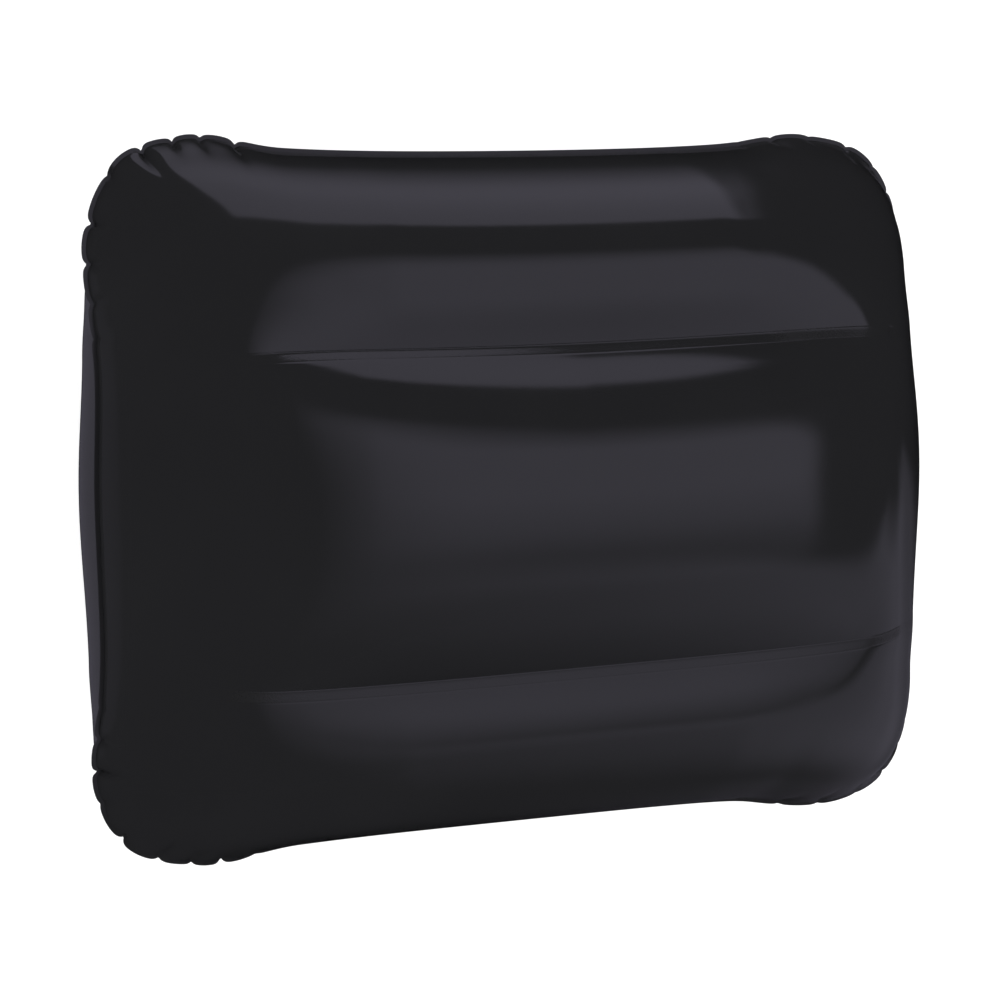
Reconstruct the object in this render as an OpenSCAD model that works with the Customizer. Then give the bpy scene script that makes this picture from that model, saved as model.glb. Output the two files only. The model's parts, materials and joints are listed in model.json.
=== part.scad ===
// Inflatable pillow: two welded sheets, two inner baffles and an air valve.
// Lies on its back sheet. X is the long direction, +Z is the front sheet's side.
// Origin: middle of the underside. Millimetres.

/* [Pillow] */
// Width of the seam's outline, before its corners are rounded and its sides drawn in
pillow_w = 337; // [320:1:352]
// Depth of the seam's outline, the same way
pillow_d = 268; // [258:1:280]
// Height of the middle lobe, both sheets
pillow_h = 154.7; // [146:0.1:162]
// Radius of the corners of the inflated outline
corner_r = 48; // [40:1:56]
// How far the middle of each short side is drawn in
side_pinch = 9.5; // [5:0.5:14]
// How far the middle of each long side is drawn in
end_pinch = 14.5; // [9:0.5:18]

/* [Sheet and seam] */
// Thickness of the sheet
sheet_t = 0.25; // [0.2:0.05:0.5]
// Width of the seam flange
seam_w = 2.5; // [2:0.5:6]
// Depth of the flat that the sheet rests on
rest_flat = 1; // [0.6:0.1:1.6]

/* [Baffles] */
// Distance of each baffle from the middle of the pillow
baffle_y = 57; // [53:0.5:61]
// Height of a baffle, weld to weld
baffle_h = 107.6; // [102:0.1:112]
// Width of the weld of a baffle
weld_w = 3.5; // [2.5:0.25:5]
// How far the sheet bulges up again outside a baffle
lobe_rise = 1.2; // [0.6:0.1:2]

/* [Valve] */
// Distance of the valve from the middle of the pillow, along X
valve_x = 136; // [132:1:139]
// Diameter of the welded disc of the valve
disc_d = 24; // [22:0.5:26]
// Outer diameter of the stem
stem_d = 12; // [11.5:0.1:12.4]
// Diameter of the air way through the stem
air_d = 8; // [7:0.1:8.4]
// How far the stem pulls out
stem_travel = 9; // [5:0.5:10]
// Diameter of the cap of the plug
cap_d = 13; // [12.5:0.1:13.4]

/* [Hidden] */
$fn = 64;

// Outline of the seam, before the corners are rounded and the sides drawn in
half_w = pillow_w / 2;
half_d = pillow_d / 2;
corner_x = half_w - corner_r;
corner_y = half_d - corner_r;

// Cross-section of a sheet at mid-length: a middle arc, a flat weld and an outer arc down to the seam
crown = pillow_h / 2 - sheet_t;
weld_z = baffle_h / 2;
mid_edge = baffle_y - weld_w / 2;
out_edge = baffle_y + weld_w / 2;
mid_sag = crown - weld_z;
mid_r = (mid_edge * mid_edge + mid_sag * mid_sag) / (2 * mid_sag);
mid_angle = asin(mid_edge / mid_r);
seam_y = half_d - end_pinch;
out_r = weld_z + lobe_rise;
out_y = seam_y - out_r;
out_start = asin(weld_z / out_r);
out_squeeze = (out_y - out_edge) / (out_r * cos(out_start));

// How squarely the sheet holds its height along X before it comes down to the seam
mid_square = 3.9;
weld_square = 8;
lobe_square = 4.5;

// Steps of the sheet grid
mid_steps = 10;
out_steps = 11;
side_steps = 18;
end_density = 1.7;

// Places along X where the sheet grid has a line, as parts of the half width
side_line = [for (i = [-side_steps : side_steps])
    let (s = abs(i) / side_steps)
    sign(i) * (1 - pow(1 - s, end_density))];
line_count = len(side_line);

// Rows of the sheet grid from -Y to +Y: [distance, offset, height, squareness]
mid_rows = [for (i = [-mid_steps : mid_steps])
    let (a = mid_angle * i / mid_steps)
    let (y = mid_r * sin(a))
    let (k = pow(abs(i) / mid_steps, 3))
    [y, 0, crown - mid_r * (1 - cos(a)), mid_square + (weld_square - mid_square) * k]];
out_rows = [for (i = [0 : out_steps])
    let (a = 180 - out_start + (out_start - 180) * i / out_steps)
    let (c = out_r * cos(a))
    let (y = out_y + (c < 0 ? c * out_squeeze : c))
    let (k = pow(1 - i / out_steps, 4))
    [y, 0, out_r * sin(a), lobe_square + (weld_square - lobe_square) * k]];
weld_rows = [[baffle_y, -weld_w / 2, weld_z, weld_square], [baffle_y, weld_w / 2, weld_z, weld_square]];
mid_only = [for (i = [1 : len(mid_rows) - 2]) mid_rows[i]];
half_rows = concat(weld_rows, [for (i = [1 : out_steps]) out_rows[i]]);
half_count = len(half_rows);
rows = concat([for (i = [half_count - 1 : -1 : 0])
                  [-half_rows[i][0], -half_rows[i][1], half_rows[i][2], half_rows[i][3]]],
              mid_only, half_rows);
row_count = len(rows);
upper_row = row_count - half_count;
lower_row = half_count - 2;

// Seam plane above the floor
seam_z = crown + sheet_t - rest_flat;

// A baffle ends this many grid lines from the middle
baffle_line = 10;

// Valve frame: local +Z points out of the back sheet, local -X towards the seam
valve_sheet_z = lobe_height(crown, mid_square, valve_x / (half_w - side_pinch));
slope_step = 0.5;
valve_slope = (lobe_height(crown, mid_square, (valve_x + slope_step) / (half_w - side_pinch))
    - lobe_height(crown, mid_square, (valve_x - slope_step) / (half_w - side_pinch))) / (2 * slope_step);
valve_tilt = atan(-valve_slope);
slide_gap = 0.3;
disc_top = 0.2;
disc_bottom = -1.9;
disc_rim = 1.5;
disc_web = 1;
neck_wall = 1;
neck_bottom = -5;
neck_d = stem_d + 2 * slide_gap;
collar_z = disc_top + slide_gap;
collar_t = 1.2;
collar_d = 15;
stop_t = 1.6;
stop_d = neck_d + 1.2;
stop_top = neck_bottom - slide_gap - stem_travel;
stem_bottom = stop_top - stop_t;
stem_top = collar_z + collar_t;

// Plug and its strap
hinge_u = 9.6;
cap_z = stem_top + slide_gap;
cap_t = 1.4;
hinge_z = cap_z + 0.6;
roll_d = 1.4;
pin_gap = 0.15;
ear_w = 1;
ear_out = 3.4;
ear_r = 1.4;
strap_w = 4;
strap_t = 1;
stopper_l = 4.6;
stopper_top_d = air_d - 0.3;
stopper_end_d = air_d - 2.8;
grip_l = 3;
grip_w = 5;
grip_t = 1;

// Check flap under the stem
flap_d = air_d + 1.6;
flap_t = 0.5;
flap_z = stem_bottom - slide_gap - flap_t;
flap_pin_x = -5.6;
flap_pin_z = flap_z + flap_t / 2;
flap_pin_d = 1;
flap_ear_out = 2.8;
flap_ear_w = 0.8;
flap_ear_r = 1;
flap_arm_w = 3;

// Height of a sheet above the seam plane at u parts of the half width
function lobe_height(top, square, u) = top * sqrt(max(0, 1 - pow(min(1, abs(u)), square)));

// A grid point before shaping: i runs along X, j along the rows
function grid_x(i) = side_line[i] * half_w;

// Row distances run to the seam in the middle; this spreads them to the full depth at the corners
function spread_y(j) = let (v = rows[j][0] / seam_y) v * half_d;

// Rounds the corners of the square grid, keeping its lines parallel to the outline
function round_corner(x, y) =
    let (p = max(0, (abs(x) - corner_x) / corner_r))
    let (q = max(0, (abs(y) - corner_y) / corner_r))
    let (rho = max(p, q))
    let (turn = (p > 0 && q > 0) ? 45 * min(p, q) / rho : 0)
    let (long_part = rho * cos(turn))
    let (short_part = rho * sin(turn))
    (p > 0 && q > 0)
        ? [sign(x) * (corner_x + corner_r * (p >= q ? long_part : short_part)),
           sign(y) * (corner_y + corner_r * (p >= q ? short_part : long_part))]
        : [x, y];

// Draws the middle of each side in
function draw_in(p) =
    let (a = p[0] / half_w)
    let (b = p[1] / half_d)
    [p[0] - side_pinch * a * max(0, 1 - b * b), p[1] - end_pinch * b * max(0, 1 - a * a)];

// A point of a sheet's inside at grid place i, j, in the seam frame
function sheet_point(i, j) =
    let (c = draw_in(round_corner(grid_x(i), spread_y(j))))
    let (h = lobe_height(rows[j][2], rows[j][3], side_line[i]))
    [c[0], c[1] + rows[j][1], h];

// The same point moved outward in plan by d and up by z
function moved(p, d, z) = [p[0] * (1 + d / half_w), p[1] * (1 + d / half_d), p[2] + z];

// Grid places round the edge, once round from the corner at -X -Y
edge_places = concat([for (i = [0 : line_count - 2]) [i, 0]],
                     [for (j = [0 : row_count - 2]) [line_count - 1, j]],
                     [for (i = [line_count - 1 : -1 : 1]) [i, row_count - 1]],
                     [for (j = [row_count - 1 : -1 : 1]) [0, j]]);
edge_count = len(edge_places);

// One sheet with its half of the seam flange; limit cuts the crown flat where it rests
module sheet(limit) {
    inside = [for (j = [0 : row_count - 1]) for (i = [0 : line_count - 1])
        let (p = sheet_point(i, j))
        [p[0], p[1], min(p[2], limit)]];
    outside = [for (p = inside) moved(p, sheet_t, sheet_t)];
    flange_top = [for (e = edge_places)
        let (p = moved(sheet_point(e[0], e[1]), seam_w, 0))
        [p[0], p[1], sheet_t]];
    flange_bottom = [for (p = flange_top) [p[0], p[1], 0]];
    points = concat(outside, inside, flange_top, flange_bottom);
    in_base = len(outside);
    top_base = in_base * 2;
    bottom_base = top_base + edge_count;
    cells = [for (j = [0 : row_count - 2]) for (i = [0 : line_count - 2]) [i, j]];
    // the diagonal of each cell leans towards the nearer corner of the sheet
    out_faces = [for (c = cells)
        let (a = c[1] * line_count + c[0])
        let (b = a + 1)
        let (d = a + line_count)
        let (e = d + 1)
        let (lean = (c[0] * 2 < line_count - 1) == (c[1] * 2 < row_count - 1))
        each (lean ? [[a, e, b], [a, d, e]] : [[a, d, b], [b, d, e]])];
    in_faces = [for (f = out_faces) [f[0] + in_base, f[2] + in_base, f[1] + in_base]];
    rim_faces = [for (k = [0 : edge_count - 1])
        let (n = (k + 1) % edge_count)
        let (e0 = edge_places[k][1] * line_count + edge_places[k][0])
        let (e1 = edge_places[n][1] * line_count + edge_places[n][0])
        each [[e0, e1, top_base + n], [e0, top_base + n, top_base + k],
              [top_base + k, top_base + n, bottom_base + n], [top_base + k, bottom_base + n, bottom_base + k],
              [bottom_base + k, bottom_base + n, in_base + e1], [bottom_base + k, in_base + e1, in_base + e0]]];
    polyhedron(points, concat(out_faces, in_faces, rim_faces));
}

// An inner strip between the two sheets: a wall with a weld foot along each edge
module baffle(row) {
    sections = [for (i = [side_steps - baffle_line : side_steps + baffle_line])
        let (a = sheet_point(i, row))
        let (b = sheet_point(i, row + 1))
        let (y0 = min(a[1], b[1]))
        let (y1 = max(a[1], b[1]))
        let (m = (y0 + y1) / 2)
        let (x = a[0])
        let (h = a[2])
        let (f = h - sheet_t)
        let (w = sheet_t / 2)
        [[x, y0, h], [x, y0, f], [x, m - w, f], [x, m - w, -f], [x, y0, -f], [x, y0, -h],
         [x, y1, -h], [x, y1, -f], [x, m + w, -f], [x, m + w, f], [x, y1, f], [x, y1, h]]];
    n = len(sections[0]);
    s = len(sections);
    walls = [for (k = [0 : s - 2]) for (c = [0 : n - 1])
        let (a = k * n + c)
        let (b = k * n + (c + 1) % n)
        each [[a, b + n, b], [a, a + n, b + n]]];
    end_face = [[0, 1, 2], [0, 2, 9], [0, 9, 11], [11, 9, 10], [2, 3, 8], [2, 8, 9],
                [3, 4, 5], [3, 5, 8], [8, 5, 6], [8, 6, 7]];
    last_point = (s - 1) * n;
    caps = concat(end_face, [for (t = end_face) [t[0] + last_point, t[2] + last_point, t[1] + last_point]]);
    polyhedron([for (p = sections) each p], concat(walls, caps));
}

// Places a child in the frame of the valve
module at_valve() {
    translate([valve_x, 0, seam_z - valve_sheet_z - sheet_t]) rotate([0, 180 - valve_tilt, 0]) children();
}

// A bar along local Y
module y_bar(x, z, d, l) {
    translate([x, l / 2, z]) rotate([90, 0, 0]) cylinder(d = d, h = l);
}

module front_panel() {
    color("dimgray") translate([0, 0, seam_z]) sheet(crown);
}

module back_panel() {
    color("gray") difference() {
        translate([0, 0, seam_z]) mirror([0, 0, 1]) sheet(crown - rest_flat);
        at_valve() translate([0, 0, -5]) cylinder(d = disc_d, h = 10);
    }
}

module upper_baffle() {
    color("lightsteelblue") translate([0, 0, seam_z]) baffle(upper_row);
}

module lower_baffle() {
    color("slategray") translate([0, 0, seam_z]) baffle(lower_row);
}

module valve_flange() {
    color("white") at_valve() rotate_extrude() polygon([
        [neck_d / 2, disc_top],
        [neck_d / 2, neck_bottom],
        [neck_d / 2 + neck_wall, neck_bottom],
        [neck_d / 2 + neck_wall, disc_bottom],
        [disc_d / 2, disc_bottom],
        [disc_d / 2, disc_top],
        [disc_d / 2 - disc_rim, disc_top],
        [disc_d / 2 - disc_rim, disc_bottom + disc_web],
        [neck_d / 2 + neck_wall, disc_bottom + disc_web],
        [neck_d / 2 + neck_wall, disc_top]]);
}

// Two ears on one side of the stem that hold a hinge pin
module ears(x, z, out, w, r, foot_z) {
    for (s = [-1, 1]) {
        y_mid = s * (out - w / 2);
        translate([0, y_mid, 0]) y_bar(x, z, 2 * r, w);
        translate([x - r, y_mid - w / 2, min(z, foot_z)]) cube([2 * r, w, abs(z - foot_z)]);
    }
}

module valve_stem() {
    tab_x = hinge_u + ear_r;
    color("gainsboro") at_valve() difference() {
        union() {
            translate([0, 0, stem_bottom]) cylinder(d = stem_d, h = stem_top - stem_bottom);
            translate([0, 0, stem_bottom]) cylinder(d = stop_d, h = stop_t);
            translate([0, 0, collar_z]) cylinder(d = collar_d, h = collar_t);
            translate([-tab_x, -ear_out, collar_z]) cube([tab_x - stem_d / 2, 2 * ear_out, collar_t - 0.4]);
            ears(-hinge_u, hinge_z, ear_out, ear_w, ear_r, collar_z);
            ears(flap_pin_x, flap_pin_z, flap_ear_out, flap_ear_w, flap_ear_r, stem_bottom);
        }
        translate([0, 0, stem_bottom - 1]) cylinder(d = air_d, h = stem_top - stem_bottom + 2);
        y_bar(-hinge_u, hinge_z, roll_d + 2 * pin_gap, 2 * ear_out + 1);
        y_bar(flap_pin_x, flap_pin_z, flap_pin_d + 2 * pin_gap, 2 * flap_ear_out + 1);
    }
}

module check_flap() {
    color("silver") at_valve() union() {
        translate([0, 0, flap_z]) cylinder(d = flap_d, h = flap_t);
        translate([flap_pin_x, -flap_arm_w / 2, flap_z]) cube([-flap_pin_x, flap_arm_w, flap_t]);
        y_bar(flap_pin_x, flap_pin_z, flap_pin_d, 2 * flap_ear_out);
    }
}

module valve_plug() {
    color("whitesmoke") at_valve() union() {
        translate([0, 0, cap_z]) cylinder(d = cap_d, h = cap_t);
        translate([0, 0, cap_z - stopper_l])
            cylinder(d1 = stopper_end_d, d2 = stopper_top_d, h = stopper_l);
        translate([cap_d / 2 - 1, -grip_w / 2, cap_z]) cube([grip_l + 1, grip_w, grip_t]);
    }
}

module plug_strap() {
    color("lightgray") at_valve() difference() {
        union() {
            y_bar(-hinge_u, hinge_z, roll_d, 2 * ear_out);
            translate([-hinge_u, -strap_w / 2, cap_z + 0.1]) cube([hinge_u - cap_d / 2 + 1, strap_w, strap_t]);
        }
        translate([0, 0, cap_z - 1]) cylinder(d = cap_d, h = cap_t + 2);
    }
}

front_panel();
back_panel();
upper_baffle();
lower_baffle();
valve_flange();
valve_stem();
check_flap();
valve_plug();
plug_strap();
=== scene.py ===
"""Inflatable camp pillow: two welded sheets of glossy black vinyl, blown up over two inner baffles.

The two sheets are cut flat, welded round the rim and to the baffles, and inflated here by a small solver.
"""
import json
import math

import bmesh
import bpy
import numpy as np
from mathutils import Matrix, Vector


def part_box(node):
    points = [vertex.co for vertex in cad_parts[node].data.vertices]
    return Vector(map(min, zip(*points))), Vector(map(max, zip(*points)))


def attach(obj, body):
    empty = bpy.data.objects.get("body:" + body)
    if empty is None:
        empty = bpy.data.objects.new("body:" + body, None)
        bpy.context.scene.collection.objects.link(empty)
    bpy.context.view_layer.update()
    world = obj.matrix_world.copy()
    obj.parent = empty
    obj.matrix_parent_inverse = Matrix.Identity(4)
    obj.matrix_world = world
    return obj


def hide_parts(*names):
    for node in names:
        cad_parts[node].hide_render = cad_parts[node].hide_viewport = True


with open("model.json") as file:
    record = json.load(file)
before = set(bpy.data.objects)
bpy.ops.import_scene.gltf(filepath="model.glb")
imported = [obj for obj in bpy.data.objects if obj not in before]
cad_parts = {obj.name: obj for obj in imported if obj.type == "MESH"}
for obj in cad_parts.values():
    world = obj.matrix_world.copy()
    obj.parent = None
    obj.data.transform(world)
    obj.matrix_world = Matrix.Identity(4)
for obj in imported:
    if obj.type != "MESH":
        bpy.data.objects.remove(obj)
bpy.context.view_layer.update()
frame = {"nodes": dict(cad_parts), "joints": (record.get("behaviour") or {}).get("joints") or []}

MM = 0.001

# ---------------------------------------------------------------- sizes, in millimetres

# Flat cut of a sheet inside its seam, before it is blown up
FLAT_W = 340.0
FLAT_H = 286.0
FLAT_R = 61.0
SIDE_BOW = 4.4
END_BOW = 7.4

# Solver grid, and where the baffles are welded in it
CELLS_X = 52
CELLS_Y = 42
BAFFLE_ROWS = 8
LOW_WELD = CELLS_Y // 2 - BAFFLE_ROWS
HIGH_WELD = CELLS_Y // 2 + BAFFLE_ROWS
BAFFLE_HALF = 120.0
BAFFLE_HEIGHT = 99.0

# The solved form is brought to the pillow's real size by this
REAL_SIZE = 1.07

# Thickness of the sheet, width of the seam flange and of a baffle's weld
SHEET_T = 0.25
FLANGE_W = 1.5
WELD_W = 3.5
# How far from a weld the sheet gives way to make room for the strip
WELD_REACH = 12.0

# Height of the seam plane, from the frame, and the middle of the form in plan
SEAM_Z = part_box("back_panel")[1][2] / MM
CENTRE_X = 0.86
CENTRE_Y = -1.23


# ---------------------------------------------------------------- flat pattern

def flat_places(x, y):
    """The flat cut's points for a square grid's x and y: its corners rounded, its sides bowed out."""
    middle_x = FLAT_W / 2 - FLAT_R
    middle_y = FLAT_H / 2 - FLAT_R
    p = np.clip((np.abs(x) - middle_x) / FLAT_R, 0, None)
    q = np.clip((np.abs(y) - middle_y) / FLAT_R, 0, None)
    corner = (p > 0) & (q > 0)
    rho = np.maximum(p, q)
    turn = np.where(corner, np.minimum(p, q) / np.where(rho > 0, rho, 1), 0) * math.pi / 4
    near = rho * np.cos(turn)
    far = rho * np.sin(turn)
    a = np.where(p >= q, near, far)
    b = np.where(p >= q, far, near)
    x = np.where(corner, np.sign(x) * (middle_x + a * FLAT_R), x)
    y = np.where(corner, np.sign(y) * (middle_y + b * FLAT_R), y)
    bowed_x = x + SIDE_BOW * (x / (FLAT_W / 2)) * (1 - (y / (FLAT_H / 2)) ** 2)
    bowed_y = y + END_BOW * (y / (FLAT_H / 2)) * (1 - (x / (FLAT_W / 2)) ** 2)
    return bowed_x, bowed_y


def square_grid():
    x = np.linspace(-FLAT_W / 2, FLAT_W / 2, CELLS_X + 1)
    y = np.linspace(-FLAT_H / 2, FLAT_H / 2, CELLS_Y + 1)
    return np.meshgrid(x, y)


# ---------------------------------------------------------------- inflation

PRESSURE = 0.6
# Resistance to bending, and the share of a thread's push that is left when it is squeezed
STIFFNESS = 1.2
CREASING = 0.3
DAMPING = 0.98
STEPS = 220
# Times that the threads and baffles are pulled true in each step, and steps between two levellings
PASSES = 10
LEVEL_EVERY = 20
# The flat sheets start with this swell between them, and with this much unevenness
START_SWELL = 3.0
START_NOISE = 0.02
SEED = 1


def links(flat):
    """Threads of the sheet: along the rows, the columns and both diagonals, in sets that share no point."""
    every = slice(None)
    sets = []
    for k in (0, 1):
        first = slice(k, -1, 2)
        second = slice(k + 1, None, 2)
        sets.append(((every, first), (every, second)))
        sets.append(((first, every), (second, every)))
        sets.append(((first, slice(None, -1)), (second, slice(1, None))))
        sets.append(((first, slice(1, None)), (second, slice(None, -1))))
    out = []
    for (row_a, col_a), (row_b, col_b) in sets:
        a = flat[row_a, col_a]
        b = flat[row_b, col_b]
        rows = min(a.shape[0], b.shape[0])
        cols = min(a.shape[1], b.shape[1])
        rest = np.linalg.norm(b[:rows, :cols] - a[:rows, :cols], axis=-1)
        out.append((row_a, col_a, row_b, col_b, rows, cols, rest))
    return out


def outward(both):
    """Area-weighted normals of the two sheets, pointing out of the pillow."""
    du = np.gradient(both, axis=2)
    dv = np.gradient(both, axis=1)
    n = np.cross(du, dv)
    n[1] *= -1
    return n


def bend_of(field):
    """Difference of each inner point from the mean of its four neighbours."""
    out = np.zeros_like(field)
    around = field[:, 1:-1, 2:] + field[:, 1:-1, :-2] + field[:, 2:, 1:-1] + field[:, :-2, 1:-1]
    out[:, 1:-1, 1:-1] = around / 4 - field[:, 1:-1, 1:-1]
    return out


def level(points, speed):
    """Turns the pillow back so that its thin direction is Z and its rows run along X."""
    flat_points = points.reshape(-1, 3)
    _, axes = np.linalg.eigh(flat_points.T @ flat_points)
    up = axes[:, 0] * np.sign(axes[2, 0])
    axis = np.cross(up, [0, 0, 1.0])
    size = np.linalg.norm(axis)
    turn = np.eye(3)
    if size > 1e-9:
        axis /= size
        angle = math.asin(min(size, 1))
        k = np.array([[0, -axis[2], axis[1]], [axis[2], 0, -axis[0]], [-axis[1], axis[0], 0]])
        turn = np.eye(3) + math.sin(angle) * k + (1 - math.cos(angle)) * k @ k
    points = points @ turn.T
    across = points[:, :, -1].mean((0, 1)) - points[:, :, 0].mean((0, 1))
    spin = -math.atan2(across[1], across[0])
    flat_turn = np.eye(3)
    flat_turn[:2, :2] = [[math.cos(spin), -math.sin(spin)], [math.sin(spin), math.cos(spin)]]
    return points @ flat_turn.T, speed @ turn.T @ flat_turn.T


def hold_threads(moved, threads):
    """Pulls every thread back to its length, in place."""
    for row_a, col_a, row_b, col_b, rows, cols, rest in threads:
        a = moved[:, row_a, col_a][:, :rows, :cols]
        b = moved[:, row_b, col_b][:, :rows, :cols]
        gap = b - a
        length = np.sqrt(np.einsum("...i,...i->...", gap, gap))
        over = length - rest
        over = np.where(over < 0, over * CREASING, over)
        fix = (0.5 * over / np.maximum(length, 1e-6))[..., None] * gap
        a += fix
        b -= fix


def hold_baffles(moved, cols):
    """Keeps the two sheets within a baffle's height of each other along both welds, in place."""
    for row in (LOW_WELD, HIGH_WELD):
        a = moved[0, row, cols]
        b = moved[1, row, cols]
        gap = a - b
        length = np.linalg.norm(gap, axis=-1)
        fix = (0.5 * np.maximum(length - BAFFLE_HEIGHT, 0) / np.maximum(length, 1e-6))[:, None] * gap
        moved[0, row, cols] = a - fix
        moved[1, row, cols] = b + fix


def stop_drift(points, speed):
    """Takes the drift and the spin of the whole pillow out, in place."""
    flat_points = points.reshape(-1, 3)
    flat_speed = speed.reshape(-1, 3)
    flat_speed -= flat_speed.mean(0)
    flat_points -= flat_points.mean(0)
    inertia = (flat_points ** 2).sum() * np.eye(3) - flat_points.T @ flat_points
    spin = np.linalg.solve(inertia, np.cross(flat_points, flat_speed).sum(0))
    flat_speed -= np.cross(spin, flat_points)


def neighbour_sum(points):
    """Sum of each inner point's four neighbours."""
    return points[:, 2:, 1:-1] + points[:, :-2, 1:-1] + points[:, 1:-1, 2:] + points[:, 1:-1, :-2]


def blow_up():
    """Inflates the two flat sheets. Gives their points, [sheet, row, column, xyz], in millimetres."""
    x, y = flat_places(*square_grid())
    flat = np.stack([x, y, np.zeros_like(x)], -1)
    threads = links(flat)
    points = np.stack([flat, flat])
    crown_x = np.clip(1 - (2 * x / FLAT_W) ** 2, 0, 1)
    crown_y = np.clip(1 - (2 * y / FLAT_H) ** 2, 0, 1)
    swell = START_SWELL * np.sqrt(crown_x * crown_y)
    points[0, ..., 2] += swell
    points[1, ..., 2] -= swell
    points += np.random.default_rng(SEED).normal(0, START_NOISE, points.shape)
    rim = np.zeros(x.shape, bool)
    rim[[0, -1]] = True
    rim[:, [0, -1]] = True
    cell = (FLAT_W / CELLS_X) * (FLAT_H / CELLS_Y)
    column_x = np.linspace(-FLAT_W / 2, FLAT_W / 2, CELLS_X + 1)
    baffle_cols = np.where(np.abs(column_x) <= BAFFLE_HALF + 1e-6)[0]
    speed = np.zeros_like(points)
    for step in range(STEPS):
        n = outward(points)
        push = PRESSURE * n / cell
        unit = n / np.maximum(np.linalg.norm(n, axis=-1, keepdims=True), 1e-9)
        curving = (bend_of(points) * unit).sum(-1)
        push -= STIFFNESS * bend_of(curving)[..., None] * unit
        push[:, rim] = push[:, rim].mean(0)
        speed = (speed + push) * DAMPING
        moved = points + speed
        for _ in range(PASSES):
            hold_threads(moved, threads)
            hold_baffles(moved, baffle_cols)
            moved[:, rim] = moved[:, rim].mean(0)
        speed = moved - points
        points = moved
        stop_drift(points, speed)
        if step % LEVEL_EVERY == 0:
            points, speed = level(points, speed)
    points[:, 1:-1, 1:-1] = 0.5 * points[:, 1:-1, 1:-1] + 0.125 * neighbour_sum(points)
    return ease(points)


# Passes that round off the ridges at the corners, how much each does, the cells from the middle at which
# they start, and their run
EASE_PASSES = 12
EASE_SHARE = 0.6
EASE_FROM_X = 9
EASE_FROM_Y = 9
EASE_RUN_X = 9
EASE_RUN_Y = 6
# Pairs of passes that take the small waves out of the seam and the rows next to it, and leave its size
RIM_PAIRS = 12
RIM_ROWS = 5
RIM_SHARE = 0.6
RIM_BACK = -0.62


def ring_index(shape, row=0):
    """Grid places once round the edge, or round a row inside it, counter-clockwise from above."""
    top, right = shape[0] - 1 - row, shape[1] - 1 - row
    ring = [(row, i) for i in range(row, right)] + [(j, right) for j in range(row, top)]
    return ring + [(top, i) for i in range(right, row, -1)] + [(j, row) for j in range(top, row, -1)]


def ease(points):
    """Rounds off the four corners, where the coarse grid makes sharp ridges, and straightens the seam."""
    for row in range(RIM_ROWS):
        ring = np.array(ring_index(points.shape[1:3], row))
        line = points[:, ring[:, 0], ring[:, 1]]
        for _ in range(RIM_PAIRS - 2 * row):
            for share in (RIM_SHARE, RIM_BACK):
                line = line + share * ((np.roll(line, 1, 1) + np.roll(line, -1, 1)) / 2 - line)
        points[:, ring[:, 0], ring[:, 1]] = line
    off_x = np.clip((np.abs(np.arange(CELLS_X + 1) - CELLS_X / 2) - EASE_FROM_X) / EASE_RUN_X, 0, 1)
    off_y = np.clip((np.abs(np.arange(CELLS_Y + 1) - CELLS_Y / 2) - EASE_FROM_Y) / EASE_RUN_Y, 0, 1)
    share = np.minimum(off_x[None, :], off_y[:, None])[1:-1, 1:-1, None] * EASE_SHARE
    for _ in range(EASE_PASSES):
        points[:, 1:-1, 1:-1] += share * (neighbour_sum(points) / 4 - points[:, 1:-1, 1:-1])
    return points


# ---------------------------------------------------------------- form of the real pillow

# Half length and half width that the shifts below are measured in, before the real size
END_X = 160.0
SIDE_Y = 125.0
# How far each end comes in, with its slope and curve across the lobes. Its middle lobe bulges out again,
# the seam by the one and the sheet off the seam by both.
RIGHT_END = {"come_in": 9.3, "slope": -0.7, "curve": -0.4, "bulge": 2.8, "round_bulge": 2.8}
LEFT_END = {"come_in": 5.6, "slope": -1.9, "curve": -5.5, "bulge": 2.7, "round_bulge": 1.6}
# Middle of that bulge, its reach along Y, and the height off the seam at which the sheet's own part is full
BULGE_Y = 4.0
BULGE_REACH = 38.0
BULGE_RISE = 22.0
# How far each long side comes in, with its slope and curve along the pillow
TOP_SIDE = {"come_in": 6.75, "slope": -2.8, "curve": -1.5}
BOTTOM_SIDE = {"come_in": 5.8, "slope": 1.5, "curve": -5.0}
# Each weld line: its distance from the middle, how far the sheet moves with it, and the bow's half length
WELD_Y = 54.0
WELD_SPREAD = 24.0
BOW_HALF = 132.0
# Shift of each weld line, how it bows in its middle and how it slants
LOWER_WELD = {"shift": -0.3, "bow": -5.5, "slant": 0.0}
UPPER_WELD = {"shift": -3.5, "bow": 2.0, "slant": -0.7}
# How far the corners stand out along X and along Y, at the -X end and the +X end
LEFT_CORNERS = {"top": (5.6, 4.6), "bottom": (5.2, 3.8)}
RIGHT_CORNERS = {"top": (5.6, 1.6), "bottom": (8.6, 8.2)}
# Part of the half length and half width where the corners begin, and how fast they grow from there
CORNER_FROM = 0.55
CORNER_GROWTH = 5.0
# How far the seam stands forward in the middle of the -X end, how far in from it that reaches, and the
# part of the half width at which it has faded, with how squarely it fades
SEAM_FORWARD = 11.0
FORWARD_REACH = 20.0
FORWARD_END = 0.92
FORWARD_SQUARE = 5


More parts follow.
